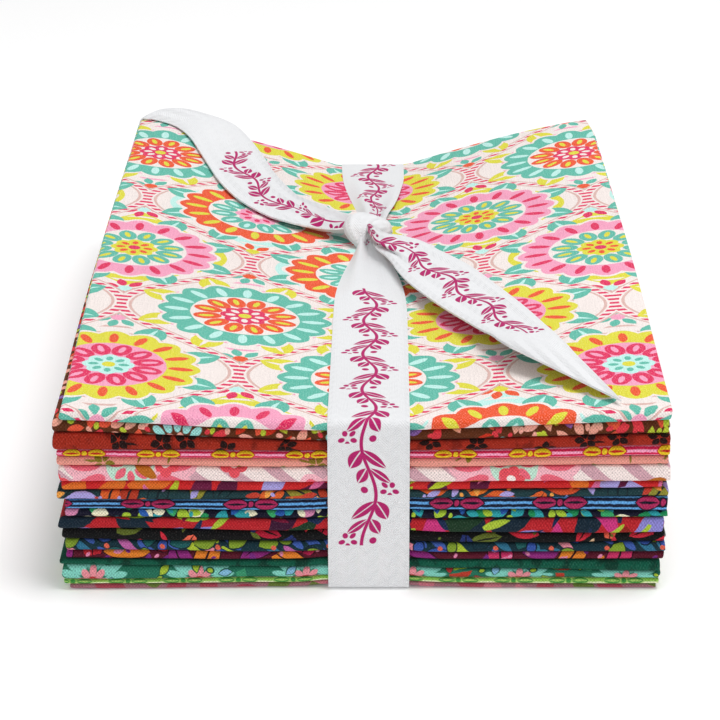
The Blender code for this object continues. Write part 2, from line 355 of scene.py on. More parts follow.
class Cloth:
    """A mesh of cloth in the making: pieces of thin sheet, each from a grid of points."""

    def __init__(self):
        self.points, self.faces, self.slots, self.flat = [], [], [], []
        self.count = 0

    def add(self, grid, flat, thickness, back_slot=1):
        """Adds a sheet. grid is rows x columns x 3, flat its place in the flat cloth in metres."""
        rows, columns = grid.shape[:2]
        normal = unit(np.cross(np.gradient(grid, axis=0), np.gradient(grid, axis=1)))
        thickness = np.broadcast_to(np.asarray(thickness, float), (rows, columns))[..., None]
        outer = (grid + normal * thickness / 2).reshape(-1, 3)
        inner = (grid - normal * thickness / 2).reshape(-1, 3)
        count = rows * columns
        faces = [
            quads(rows, columns, 0, False),
            quads(rows, columns, count, True),
            rim(rows, columns, count),
        ]
        self.points += [outer, inner]
        self.faces += [f + self.count for f in faces]
        self.slots += [np.full(len(f), s) for f, s in zip(faces, (0, back_slot, back_slot))]
        self.flat += [flat.reshape(-1, 2)] * 2
        self.count += 2 * count

    def piece(self, name, materials, sharp=60):
        """Makes the object, with the flat place of each point as its UV map."""
        mesh = bpy.data.meshes.new(name)
        faces = np.concatenate(self.faces)
        mesh.from_pydata(np.concatenate(self.points).tolist(), [], faces.tolist())
        for made in materials:
            mesh.materials.append(made)
        mesh.polygons.foreach_set("material_index", np.concatenate(self.slots).astype(np.int32))
        uv = mesh.uv_layers.new(name="flat")
        flat = np.concatenate(self.flat)[faces.ravel()]
        uv.data.foreach_set("uv", flat.astype(np.float32).ravel())
        mesh.validate()
        mesh.shade_smooth()
        mesh.set_sharp_from_angle(angle=math.radians(sharp))
        made = bpy.data.objects.new(name, mesh)
        bpy.context.scene.collection.objects.link(made)
        return made


# ---- the quarters


def turn(steps):
    """Angles strictly inside a half turn."""
    return math.pi * np.arange(1, steps) / steps


def ends(quarter):
    """How far left and right a quarter reaches at its front."""
    return -WIDTH / 2 - quarter.left_out * MM, WIDTH / 2 + quarter.right_out * MM


def lined_up(quarter, x, y, upper_in):
    """Brings the ends into line towards the back and bows them out halfway there. upper_in is how
    far the upper leg's left and right ends are drawn in at the back."""
    along = (y - FRONT) / DEPTH
    bowed = np.sin(math.pi * np.clip(along, 0, 1)) ** END_EASE
    left, right = ends(quarter)
    t = (x - left) / (right - left)
    from_left, from_right = (
        (out * MM * (1 - BACK_STAGGER) + BACK_NARROWER + upper) * along - bulge * bowed
        for out, upper, bulge in zip((quarter.left_out, quarter.right_out), upper_in, END_BULGE)
    )
    return x + from_left * (1 - t) - from_right * t


def rounded_corner(x, y, most):
    """How far the right fold is drawn in at the back, where its corner is rounded, in metres."""
    near_back = smooth((y - BACK + CORNER_REACH) / CORNER_REACH) ** END_EASE
    return most * MM * near_back * smooth((x - WIDTH / 2 + CORNER_REACH) / CORNER_REACH)


def folded_across(quarter, rng):
    """The cloth's path across: place, level (in layers from the middle of the fold) and panel."""
    left, right = ends(quarter)
    first, last = rng.uniform(*RAW_ENDS, 2) * MM
    turn_x = left + LEFT_BEND
    right_x = right - RIGHT_BEND
    outer, inner = turn(OUTER_FOLD_STEPS), turn(INNER_FOLD_STEPS)
    runs = (
        (np.linspace(right + first, turn_x, ACROSS_STEPS + 1), 0.5, 0),
        (turn_x - LEFT_BEND * np.sin(outer), 2.0 - 1.5 * np.cos(outer), 0.5),
        (np.linspace(turn_x, right_x, ACROSS_STEPS + 1), 3.5, 1),
        (right_x + RIGHT_BEND * np.sin(inner), 3.0 + 0.5 * np.cos(inner), 1.5),
        (np.linspace(right_x, turn_x, ACROSS_STEPS + 1), 2.5, 2),
        (turn_x - INNER_LEFT_BEND * np.sin(inner), 2.0 + 0.5 * np.cos(inner), 2.5),
        (np.linspace(turn_x, right + last, ACROSS_STEPS + 1), 1.5, 3),
    )
    return np.concatenate([np.stack(np.broadcast_arrays(*run)) for run in runs], 1)


def folded_quarter(index, quarter, materials):
    """One quarter: folded in four across, then in two along round its front."""
    rng = np.random.default_rng(QUARTER_SEED + index)
    x, level, panel = folded_across(quarter, rng)
    flat_x = flat_distance(x)
    flat_x *= CUT_WIDTH / flat_x[-1]
    x, level = x[:, None], level[:, None]
    askew_low, askew_high = (
        np.interp(panel, range(4), rng.uniform(*ASKEW, 4))[:, None] * MM for _ in range(2)
    )

    pinch = pinch_share(x)
    wave = sum(
        size * np.sin(x * rng.uniform(least, most) + rng.uniform(0, 6))
        for size, least, most in FOLD_WAVES
    )
    front = FRONT - quarter.fold_out * MM + PULL_IN * pinch + wave
    front = np.maximum(front, TAPE_FRONT + TAPE + FREE_REACH * (pinch - 1))
    raw = BACK + quarter.raw_out * MM - PULL_IN * pinch
    limit = TAPE_BACK - TAPE + FREE_REACH * (1 - pinch)
    raw_low = np.minimum(raw + askew_low, limit)
    raw_high = np.minimum(raw + askew_high, limit)

    def middle_and_pitch(y):
        bottom = surface(index + 1, x, y) + NEXT_QUARTER / 2
        top = surface(index, x, y) - NEXT_QUARTER / 2
        return (bottom + top) / 2, (top - bottom) / LAYERS

    bend = front + NOSE
    middle, pitch = middle_and_pitch(bend)
    share = np.arange(LEG_STEPS + 1) / LEG_STEPS
    y_low = raw_low + (bend - raw_low) * share
    y_high = bend + (raw_high - bend) * share
    angle = turn(NOSE_STEPS)
    reach = (bend - front) * level / OUTER_FACE
    y_nose = bend - reach * np.sin(angle)
    z_nose = middle - level * pitch * np.cos(angle)
    middle_low, pitch_low = middle_and_pitch(y_low)
    middle_high, pitch_high = middle_and_pitch(y_high)
    z_low, z_high = middle_low - level * pitch_low, middle_high + level * pitch_high
    y = np.concatenate([y_low, y_nose, y_high], 1)
    z = np.concatenate([z_low, z_nose, z_high], 1)
    thickness = np.concatenate([pitch_low, np.broadcast_to(pitch, y_nose.shape), pitch_high], 1)

    leg = np.ones(LEG_STEPS + 1)
    lower = np.concatenate([leg, (1 + np.cos(angle)) / 2, 0 * leg])
    slide = rng.uniform(*SLIDE) * MM * lower
    drawn_in = rng.uniform(*DRAWN_IN, 2) if index else np.array(TOP_DRAWN_IN)
    x = lined_up(quarter, x, y, drawn_in[:, None, None] * MM * (1 - lower)) + slide
    x = x - rounded_corner(x, y, rng.uniform(*ROUNDED) if index else TOP_ROUNDED)
    outer = np.argmax(panel == 1) + ACROSS_STEPS // 4
    flat_y = flat_distance(y[outer], z[outer])
    flat_y *= CUT_DEPTH / flat_y[-1]
    flat = np.stack(np.broadcast_arrays(flat_x[:, None], flat_y[None, :]), -1)

    cloth = Cloth()
    cloth.add(np.stack([x, y, z], -1), flat, thickness * CLOTH_SHARE)
    name = f"quarter_{index + 1:02d}"
    made = cloth.piece(f"folded_{name}", materials)
    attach(made, "root")
    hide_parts(name)
    f"cloth_{index + 1:02d}"
    below = f"folded_quarter_{index + 2:02d}" if index + 1 < len(QUARTERS) else "ribbon_tie"


# ---- the tape


def along_rows(rows, steps):
    """Points between the rows of a table, on a smooth curve through them."""
    table = np.array(rows) * MM
    table = np.vstack([2 * table[0] - table[1], table, 2 * table[-1] - table[-2]])
    made = []
    for before, start, end, after in zip(table, table[1:], table[2:], table[3:]):
        for t in np.arange(steps) / steps:
            bend = (2 * before - 5 * start + 4 * end - after) * t**2
            twist = (3 * (start - end) + after - before) * t**3
            made.append(start + ((end - before) * t + bend + twist) / 2)
    return np.array([*made, table[-2]])


def plain_tape(across):
    """Folds a place across the tape back and forth within the plain part beside a selvedge."""
    return 0.3 * MM + PLAIN_EDGE - np.abs(np.mod(across, 2 * PLAIN_EDGE) - PLAIN_EDGE)


def tape_strip(cloth, near, far, up_hint, pleats, start=0.0, flattened=0.0, crown=0.0, tucked=None):
    """Adds a strip between two selvedges. What is narrower than the tape is pleated along. Row by
    row, flattened is how much the pleats are pressed out, from 0 to 1, crown how far the middle
    stands up, and tucked how far the near selvedge is folded under, from 0 to 1."""
    across = far - near
    width = np.linalg.norm(across, axis=-1)
    ahead = np.gradient((near + far) / 2, axis=0)
    up = unit(np.cross(ahead, across))
    up *= np.sign(np.sum(up * up_hint, -1, keepdims=True))
    s = np.linspace(0, 1, TAPE_COLUMNS + 1)
    slack = np.sqrt(np.maximum(TAPE_WIDTH**2 - width**2, 0)) / (4 * pleats.count)
    wander = np.linspace(0, pleats.wander, len(width))[:, None]
    wave = np.cos(2 * math.pi * pleats.count * s + pleats.phase + wander)
    wave = wave * (0.85 + 0.3 * np.sin(5.1 * s + 1.0 + 2 * wander))  # no two pleats alike
    lift = slack[:, None] * wave * np.reshape(pleats.depth * (1 - flattened), (-1, 1))
    lift -= lift.min(axis=1, keepdims=True) * 0.5
    lift = lift + np.reshape(crown, (-1, 1)) * np.sin(math.pi * s) ** 0.8
    place = np.broadcast_to(s, lift.shape)
    if tucked is not None:
        share, folded, height = np.array(TUCK).T
        tucked = np.reshape(tucked, (-1, 1))
        place = place + (np.interp(s, share, folded) - s) * tucked
        lift = lift * (1 - tucked) + np.interp(s, share, height) * MM * tucked
    grid = near[:, None] + across[:, None] * place[..., None] + up[:, None] * lift[..., None]
    run = np.linalg.norm(np.diff(grid, axis=0), axis=-1).mean(axis=1)
    along = np.concatenate([[0], np.cumsum(run)]) + start
    flat = np.stack(np.broadcast_arrays(s[None, :] * TAPE_WIDTH, along[:, None]), -1)
    cloth.add(grid, flat, TAPE, back_slot=0)


def corner(centre, start, end):
    """Points (y, z) of a quarter turn round one of the stack's edges, angles in degrees."""
    a = np.radians(np.linspace(start, end, TAPE_CORNER_POINTS))
    return np.stack([centre[0] + TAPE_CORNER * np.cos(a), centre[1] + TAPE_CORNER * np.sin(a)], -1)


def on_top(y):
    return top_height(0.0, y) + TAPE / 2 + TAPE_LIFT


def over_cloth(x, y, up):
    """Points over the top of the stack."""
    return np.stack([x, y, top_height(x, y) + up], -1)


def band_path():
    """The band's section (y, z), from the knot over the front, under the stack and back on top."""
    front, back = TAPE_FRONT + TAPE_CORNER, TAPE_BACK - TAPE_CORNER
    bottom = TAPE / 2 + TABLE_GAP
    down = np.linspace(KNOT_Y - KNOT_GAP, front, DOWN_POINTS)[:-1]
    drop = np.linspace(on_top(front) - TAPE_CORNER, bottom + TAPE_CORNER, DROP_POINTS)[1:-1]
    under = np.linspace(front, back, UNDER_POINTS)[1:-1]
    rise = np.linspace(bottom + TAPE_CORNER, on_top(back) - TAPE_CORNER, RISE_POINTS)[1:-1]
    home = np.linspace(back, KNOT_Y + KNOT_GAP, HOME_POINTS)[1:]
    runs = (
        np.stack([down, on_top(down)], -1),
        corner((front, on_top(front) - TAPE_CORNER), 90, 180),
        np.stack([np.full(drop.shape, TAPE_FRONT), drop], -1),
        corner((front, bottom + TAPE_CORNER), 180, 270),
        np.stack([under, np.full(under.shape, bottom)], -1),
        corner((back, bottom + TAPE_CORNER), 270, 360),
        np.stack([np.full(rise.shape, TAPE_BACK), rise], -1),
        corner((back, on_top(back) - TAPE_CORNER), 0, 90),
        np.stack([home, on_top(home)], -1),
    )
    return np.concatenate(runs)


def gathered(y, on_stack):
    """The band's width and sideways shift where it lies on the stack."""
    made = []
    for column, whole in ((1, TAPE_WIDTH), (2, 0.0)):
        front, back = (
            np.interp(abs(y - KNOT_Y), *(np.array(rows)[:, i] * MM for i in (0, column)))
            for rows in (GATHER_FRONT, GATHER_BACK)
        )
        value = np.where(on_stack, np.where(y < KNOT_Y, front, back), whole)
        for _ in range(3):  # rounds off the table's bends
            value[1:-1] = (value[:-2] + 2 * value[1:-1] + value[2:]) / 4
        made.append(value)
    return made


def band(cloth):
    """The tape round the stack."""
    path = band_path()
    y, z = path[:, 0], path[:, 1]
    width, shift = gathered(y, z > top_height(0.0, y) - TAPE_CORNER / 2)
    middle = BAND_X_FRONT + (BAND_X_BACK - BAND_X_FRONT) * (y - FRONT) / DEPTH + shift
    near = np.stack([middle - width / 2, y, z], -1)
    far = np.stack([middle + width / 2, y, z], -1)
    up_hint = np.stack([np.zeros_like(y), y, (z - HALF_UP) * 6], -1)
    crown = ROOT_CROWN * (1 - smooth(np.abs(y - KNOT_Y) / ROOT_REACH)) * (z > HALF_UP)
    tape_strip(cloth, near, far, up_hint, BAND_PLEATS, crown=crown)


def tail(cloth, rows, start, tuck=0.0, crown=0.0):
    """A free tail of the tape. tuck is how far along it the near selvedge is folded under, crown
    how far its middle stands up where it goes over the back edge."""
    near_x, near_y, near_up, far_x, far_y, far_up = along_rows(rows, TAIL_STEPS).T
    near = over_cloth(near_x, near_y, near_up) + [0, 0, TAPE]
    far = over_cloth(far_x, far_y, far_up) + [0, 0, TAPE]
    run = flat_distance(*near.T)
    tucked = 1 - smooth((run - tuck / 2) / (tuck / 2)) if tuck else None
    over = smooth((run - OVER_EDGE) / OVER_RAMP) if crown else 0.0 * run
    up_hint = np.array([0, 0.4, 1.0])  # outwards, on top and behind the back edge
    tape_strip(cloth, near, far, up_hint, TAIL_PLEATS, start, over, crown * over, tucked)


def strand(cloth, middle, side, up, start):
    """Adds a closed strand of gathered tape along its middle line. side and up reach from there to
    its surface. Its creases run along it and draw together where it narrows."""
    around = np.radians(np.linspace(STRAND_FROM, STRAND_TO, STRAND_POINTS))
    steps = np.linspace(0, 1, len(middle))[:, None]
    # Five broad creases, and eleven fine ones
    creases = 0.035 * np.cos(5 * around + 0.6 + 1.5 * steps)
    creases = creases + 0.025 * np.cos(11 * around + 2.5 * steps)
    out = 1 + creases * np.sin(math.pi * np.clip(steps * 0.8 + 0.15, 0, 1))
    grid = middle[:, None] + side[:, None] * (out * np.cos(around))[..., None]
    grid = grid + up[:, None] * (out * np.sin(around))[..., None]
    run = flat_distance(*middle.T) + start
    flat_x = plain_tape(around * STRAND_RADIUS)
    flat = np.stack(np.broadcast_arrays(flat_x[None, :], run[:, None]), -1)
    cloth.add(grid, flat, TAPE, back_slot=0)


def knot(cloth):
    """The knot: a gathered bundle that lies across, and the strand that is drawn over it."""
    run = np.array([math.cos(KNOT_LIE), math.sin(KNOT_LIE), 0])
    across = np.array([-math.sin(KNOT_LIE), math.cos(KNOT_LIE), 0]) * KNOT_WIDE
    s = np.linspace(-1, 1, KNOT_POINTS)[:, None]
    full = np.sqrt(1 - np.abs(s) ** 2.6 * 0.97)  # plump, with blunt ends
    z = top_height(0.0, KNOT_Y - KNOT_HALF) + KNOT_UP
    middle = np.array([BAND_X_FRONT, KNOT_Y + KNOT_BACK, z]) + run * s * KNOT_LONG
    strand(cloth, middle, across * full, np.array([0, 0, KNOT_TALL]) * full, KNOT_START)

    x, y, up, half_width, half_height = along_rows(OVER_KNOT, OVER_KNOT_STEPS).T
    middle = over_cloth(x, y, up)
    ahead = unit(np.gradient(middle, axis=0))
    side = unit(np.cross(ahead, np.array([0, 0, 1.0])))
    out = np.cross(side, ahead) * half_height[:, None]
    strand(cloth, middle, side * half_width[:, None], out, OVER_KNOT_START)


def ribbon(materials):
    cloth = Cloth()
    band(cloth)
    knot(cloth)
    tail(cloth, RIGHT_TAIL, RIGHT_TAIL_START, tuck=TUCK_REACH)
    tail(cloth, LEFT_TAIL, LEFT_TAIL_START, crown=OVER_CROWN)
    made = cloth.piece("ribbon_tie", materials, sharp=75)
    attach(made, "root")
    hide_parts("ribbon")


# ---- materials


def linear(code):
    """Linear light from a colour's six hexadecimal digits."""
    values = [int(code[i : i + 2], 16) / 255 for i in (0, 2, 4)]
    return (*(v / 12.92 if v <= 0.04045 else ((v + 0.055) / 1.055) ** 2.4 for v in values), 1.0)


class Field:
    """A value that varies over a material. Arithmetic on it adds the nodes that work it out."""

    def __init__(self, tree, socket):
        self.tree, self.socket = tree, socket

    def maths(self, operation, *others):
        return put(self.tree, "Math", self, *others, operation=operation)

    def __rsub__(self, other):
        return put(self.tree, "Math", other, self, operation="SUBTRACT")

    __add__ = partialmethod(maths, "ADD")
    __sub__ = partialmethod(maths, "SUBTRACT")
    __mul__ = partialmethod(maths, "MULTIPLY")
    __truediv__ = partialmethod(maths, "DIVIDE")
    __lt__ = partialmethod(maths, "LESS_THAN")
    __gt__ = partialmethod(maths, "GREATER_THAN")
    __abs__ = partialmethod(maths, "ABSOLUTE")


def put(tree, kind, *values, output=0, **settings):
    """Adds a node with its settings and inputs, and gives one of its outputs as a field."""
    node = tree.nodes.new("ShaderNode" + kind)
    for key, value in settings.items():
        setattr(node, key, value)
    for slot, value in zip(node.inputs, values):
        if isinstance(value, Field):
            tree.links.new(value.socket, slot)
        elif value is not None:
            slot.default_value = value
    return Field(tree, node.outputs[output])


def tune(node, values):
    for name, value in values.items():
        node.inputs[name].default_value = value


def parts(vector):
    """The first two parts of a vector, or of a colour."""
    node = put(vector.tree, "SeparateXYZ", vector).socket.node
    return Field(vector.tree, node.outputs[0]), Field(vector.tree, node.outputs[1])


def blend(tree, share, *colours, kind="MIX"):
    """Mixes two colours."""
    colours = (linear(c) if isinstance(c, str) else c for c in colours)
    inputs = [share, *[None] * 5, *colours]
    return put(tree, "Mix", *inputs, output=2, data_type="RGBA", blend_type=kind)


def sin(a):
    return a.maths("SINE")


def cos(a):
    return a.maths("COSINE")


def floor(a):
    return a.maths("FLOOR")


def low(a, b):
    return a.maths("MINIMUM", b)


def high(a, b):
    return a.maths("MAXIMUM", b)


def wrap(a, size):
    """Brings a value to within half a size of zero by whole steps of size."""
    return a - floor(a / size + 0.5) * size


def pair(x, y):
    return put(x.tree, "CombineXYZ", x, y)


def hypot(x, y):
    return put(x.tree, "VectorMath", pair(x, y), output=1, operation="LENGTH")


def turned(x, y, angle):
    """A place seen from axes turned by an angle, a number or a field."""
    if isinstance(angle, Field):
        c, s = cos(angle), sin(angle)
    else:
        c, s = math.cos(angle), math.sin(angle)
    return x * c + y * s, y * c - x * s


def white_noise(x, y):
    return put(x.tree, "TexWhiteNoise", pair(x, y), noise_dimensions="2D")


def noise(x, y, detail):
    return put(x.tree, "TexNoise", pair(x, y), None, 1.0, detail, noise_dimensions="2D")


def voronoi(place, output, jitter, feature="F1"):
    settings = {"voronoi_dimensions": "2D", "feature": feature}
    made = put(place.tree, "TexVoronoi", place, None, 1.0, output=output, **settings)
    tune(made.socket.node, {"Randomness": jitter})
    return made


def palette(pick, colours):
    """One of some colours, by a number from 0 to 1."""
    made = put(pick.tree, "ValToRGB", pick)
    ramp = made.socket.node.color_ramp
    ramp.interpolation = "CONSTANT"
    colours = colours.split()
    for _ in colours[2:]:
        ramp.elements.new(0.5)
    for number, (element, code) in enumerate(zip(ramp.elements, colours)):
        element.position = number / len(colours)
        element.color = linear(code)
    return made


# Motifs: how far inside its edge a place is, in millimetres


def oval(x, y, long, wide):
    return (1 - hypot(x / (long / 2), y / (wide / 2))) * (wide / 2)


def leaf(x, y, long, wide):
    along = x / (long / 2)
    return (1 - along * along) * (wide / 2) - abs(y)


def stripe(a, pitch, wide):
    return wide / 2 - abs(wrap(a, pitch))


def polar(x, y):
    return hypot(x, y), y.maths("ARCTAN2", x)


def ovals(place, count, inner, outer, wide, spin=0.0, shape=oval):
    """A ring of ovals or leaves that point outwards."""
    r, angle = place
    angle = wrap(angle + spin, 2 * math.pi / count)
    return shape(r * cos(angle) - (inner + outer) / 2, r * sin(angle), outer - inner, wide)


def bloom(place, count, radius, depth):
    """A disc with rounded petals."""
    r, angle = place
    return (abs(cos(angle * (count / 2))) * depth + (1 - depth)) * radius - r


def disc(place, radius):
    return radius - place[0]


# Where the top panel's front left corner is in the flat cloth, in millimetres
CORNER_U, CORNER_V = CUT_WIDTH * PER_METRE / 4, CUT_DEPTH * PER_METRE / 2

WARP_STREAK, WEFT_STREAK = 11.0, 9.0  # how long a thread keeps its shade, in millimetres
FADE = 60  # the size of the cloth's slow changes of shade, in millimetres
FAR_OUTSIDE = 99.0  # millimetres
OUTLINE = 0.3  # millimetres
SCATTER, SQUASH = 0.9, 0.7  # how far off a grid tossed motifs are, and how low its cells
COTTON = {
    "Roughness": 0.86,
    "Specular IOR Level": 0.14,
    "Sheen Weight": 0.03,
    "Sheen Roughness": 0.45,
}


class Print:
    """A printed cotton in the making, laid out in the flat cloth's own millimetres.

    u runs across from the front left corner of the panel on top, v back from the front fold.
    """

    def __init__(self, name, ground, wobble=0.12):
        self.material = bpy.data.materials.new(name)
        self.material.use_nodes = True
        self.tree = self.material.node_tree
        u, v = parts(put(self.tree, "UVMap", uv_map="flat"))
        self.flat_u = u * PER_METRE - CORNER_U
        self.flat_v = v * PER_METRE - CORNER_V
        shake = noise(self.flat_u / 1.3, self.flat_v / 1.3, 1.0)
        self.u = self.flat_u + (shake - 0.5) * (2 * wobble)
        self.v = self.flat_v + (0.5 - shake) * (2 * wobble)
        self.colour = linear(ground)

    def paint(self, inside, colour, soft=0.16):
        """Prints a colour where inside is over zero."""
        self.colour = blend(self.tree, inside / soft + 0.5, self.colour, colour)

    def tile(self, wide, tall, shift_u, shift_v, drop=0.5):
        """A repeat: the place from the tile's middle, and a random number for each tile."""
        u = self.u / wide + shift_u
        column = floor(u)
        v = self.v / tall + shift_v + column * drop
        row = floor(v)
        return (u - column - 0.5) * wide, (v - row - 0.5) * tall, white_noise(column, row)

    def toss(self, size, seed, jitter=0.75, squash=1.0):
        """A scatter: the place from the nearest centre, turned at random, and a random number."""
        place = pair(self.u / size + seed, self.v / (size * squash) + seed)
        cell = voronoi(place, "Color", jitter)
        centre = Field(self.tree, cell.socket.node.outputs["Position"])
        x, y = parts(put(self.tree, "VectorMath", place, centre, operation="SUBTRACT"))
        pick, angle = parts(cell)
        x, y = turned(x * size, y * (size * squash), angle * (2 * math.pi))
        return x, y, pick

    def cotton(self, thread=0.38, relief=0.00010, grain=0.52, slub=0.16, fleck=0.05):
        """Weaves the cloth: threads over and under, a little uneven, with specks that the ink left
        bare and a dry, faintly hairy finish."""
        tree, u, v = self.tree, self.flat_u, self.flat_v
        warp = noise(u / thread, v / WARP_STREAK, 1.0)
        weft = noise(u / WEFT_STREAK, v / thread, 1.0)
        speck = noise(u / (thread * 0.9), v / (thread * 0.9), 0.0)
        cross = sin(u * (math.pi / thread)) * sin(v * (math.pi / thread))
        fade = noise(u / FADE, v / FADE, 3.0)
        shade = (warp + weft - 1) * slub + (speck - 0.5) * grain + cross * (grain * 0.4)
        shade = shade + fade * 0.10 + 0.96
        bare = high(speck + cross * 0.12 - 0.53, 0.0) * fleck
        inked = blend(tree, bare, self.colour, "F4F0EA")
        grey = put(tree, "CombineColor", shade, shade, shade)
        shaded = blend(tree, 1.0, inked, grey, kind="MULTIPLY")
        self.relief(cross * 0.5 + warp + weft + speck, 0.8, relief)
        shader = tree.nodes["Principled BSDF"]
        tree.links.new(shaded.socket, shader.inputs["Base Color"])
        tune(shader, COTTON)
        return self.material

    def relief(self, height, strength, distance):
        """Raises the surface a little, over any relief that it already has."""
        tree, normal = self.tree, self.tree.nodes["Principled BSDF"].inputs["Normal"]
        node = put(tree, "Bump").socket.node
        tune(node, {"Strength": strength, "Distance": distance})
        tree.links.new(height.socket, node.inputs["Height"])
        if normal.is_linked:
            tree.links.new(normal.links[0].from_socket, node.inputs["Normal"])
        tree.links.new(node.outputs[0], normal)


def only(inside, pick, most):
    """Keeps a motif where its random number is under most."""
    return inside - (pick > most) * FAR_OUTSIDE


BLUSH, CHARTREUSE, FLAME, TEAL, MINT = "EFE4E0", "DCD63C", "E8552D", "5FB8A5", "BDEBE4"
PINK, CRIMSON, ROSE = "F0A0BE", "DD2C5E", "D9B3AC"


def medallions(p):
    """An ogee lattice with a rosette in each opening, in four colourways."""
    wide, tall = 62.0, 84.0
    u, v = p.u - 9, p.v - 30
    x, y = wrap(u, wide), wrap(v, tall)
    bulge = (cos(y * (2 * math.pi / tall)) + 1) * (wide / 4) - abs(x)
    odd = bulge < 0
    odd_x, odd_y = wrap(u - wide / 2, wide), wrap(v - tall / 2, tall)
    x, y = x + (odd_x - x) * odd, y + (odd_y - y) * odd
    column, row = floor((u - x) / (wide / 2) + 0.5), floor((v - y) / (tall / 2) + 0.5)
    way = wrap(column + row * 1.5 + 50.25, 4.0) / 4 + 0.5
    edge = abs(bulge)
    rose = polar(x, y)

    def dye(inside, *colours):
        p.paint(inside, palette(way, " ".join(colours)))

    p.colour = palette(way, " ".join((BLUSH, MINT, BLUSH, CHARTREUSE)))
    p.paint(6.4 - edge, BLUSH)
    dye(low(stripe(rose[0], 4.2, 1.1), edge - 7.4), ROSE, BLUSH, PINK, BLUSH)
    tip = polar(abs(y) - 31.5, x)
    dye(ovals(tip, 7, 1.6, 6.8, 2.6, 0.2, leaf), TEAL, FLAME, TEAL, CRIMSON)
    dye(disc(tip, 1.9), PINK, CHARTREUSE, FLAME, MINT)
    p.paint(2.6 - edge, ROSE)
    p.paint(1.8 - edge, BLUSH)
    p.paint(low(stripe(v, 2.6, 1.3), 1.2 - edge), CRIMSON)

    dye(ovals(rose, 8, 16.5, 28.5, 8.0, 0.39, leaf), TEAL, TEAL, CHARTREUSE, TEAL)
    dye(ovals(rose, 8, 18.0, 27.0, 1.2, 0.39, leaf), MINT, MINT, BLUSH, MINT)
    p.paint(bloom(rose, 16, 23.0, 0.10), BLUSH)
    dye(bloom(rose, 16, 21.9, 0.10), CHARTREUSE, FLAME, TEAL, PINK)
    dye(ovals(rose, 16, 14.2, 20.2, 2.3), FLAME, CHARTREUSE, MINT, CRIMSON)
    dye(disc(rose, 13.8), PINK, BLUSH, BLUSH, BLUSH)
    dye(ovals(rose, 12, 6.0, 13.3, 4.7, 0.26), CRIMSON, TEAL, FLAME, TEAL)
    dye(ovals(rose, 12, 8.0, 12.0, 1.5, 0.26), PINK, MINT, CHARTREUSE, CHARTREUSE)
    dye(bloom(rose, 8, 6.3, 0.16), MINT, PINK, CRIMSON, CHARTREUSE)
    dye(ovals(rose, 8, 2.4, 4.9, 1.6), TEAL, CRIMSON, BLUSH, FLAME)
    dye(disc(rose, 1.6), CHARTREUSE, BLUSH, CHARTREUSE, CRIMSON)


def outlined(p, inside, colour, line=None):
    """Prints a shape, with a line round it if a colour for the line is given."""
    if line:
        p.paint(inside + OUTLINE, line)
    p.paint(inside, colour)


def ringed_flowers(p):
    """Ringed flowers on a ground of petals."""
    petals(p, 3.5, 3.1, 4.2, 2.0, "B7C737 D93A44 F0A898 E8A08C C8321E 8B62A8 E2563A F0A898")
    x, y, _ = p.tile(37, 21, 0.72, 0.60, 0.1)
    rose = polar(x, y)
    p.paint(disc(rose, 8.6), "5A2C14")
    p.paint(ovals(rose, 16, 7.5, 8.9, 1.0, 0.2), "D93A44")
    p.paint(ovals(rose, 16, 4.2, 7.6, 1.8), "9ADCD6")
    p.paint(ovals(rose, 9, 1.2, 4.2, 1.7), "F0A898")
    p.paint(disc(rose, 1.4), "C9348A")


def sprigs(p, dark, size, seed, most, wide):
    """Small tossed flowers, each on a stalk."""
    x, y, pick = p.toss(size, seed)
    p.paint(only(ovals(polar(x - 0.6, y), 5, 0.3, 2.7, wide, shape=leaf), pick, most), dark)
    p.paint(only(oval(x + 2.2, y - 0.4, 3.0, 0.5), pick, most), dark)


def daisies(p):
    """Large flowers and small ones over leaning stripes."""
    x, y, _ = p.tile(44, 34, 0.12, 0.42)
    p.paint(stripe(turned(p.u, p.v, 0.9)[0], 6.4, 2.6), "D0A3AE")
    rose = polar(x, y)
    p.paint(bloom(rose, 14, 15.4, 0.12), "F3B4C0")
    p.paint(ovals(rose, 14, 6.6, 14.2, 3.4), "E8667A")
    p.paint(disc(rose, 5.6), "BFE3D0")
    p.paint(ovals(rose, 8, 1.6, 5.0, 1.7), "E8667A")
    x, y, pick = p.toss(13, 5.2)
    p.paint(only(bloom(polar(x, y), 5, 3.2, 0.3), pick, 0.45), "E5525E")
    p.paint(only(disc(polar(x, y), 1.0), pick, 0.45), "F7E9E4")
    p.paint(only(oval(x, y, 6.0, 2.6), 1 - pick, 0.35), "B8691F")


def foliage(p, size, seed, long, wide, colours, line=None, most=1.0):
    """Tossed leaves with a thin rib in the colour of their outline."""
    x, y, pick = p.toss(size, seed, SCATTER, SQUASH)
    y = y + x * x * (0.12 / long)
    outlined(p, only(leaf(x, y, long, wide), pick, most), palette(pick, colours), line)
    if line:
        p.paint(only(leaf(x, y, long * 0.86, 0.5), pick, most), line)


def petals(p, size, seed, long, wide, colours, line=None):
    """Small tossed petals and seeds."""
    x, y, pick = p.toss(size, seed, SCATTER)
    outlined(p, leaf(x, y, long, wide), palette(pick, colours), line)
    x, y, pick = p.toss(size * 0.83, seed + 3.3, SCATTER)
    outlined(p, only(oval(x, y, wide * 0.8, wide * 0.55), pick, 0.5), palette(pick, colours), line)


def slants(p, pitch, wide, angle, colours):
    """Slanting strokes, each in its own colour."""
    x, y = turned(p.u, p.v, angle)
    lane = floor(x / pitch + 0.5)
    x, y = wrap(x, pitch), wrap(y + lane * (pitch * 1.7), pitch * 3.2)
    p.paint(oval(x, y, wide, pitch * 2.8), palette(white_noise(lane, lane), colours))


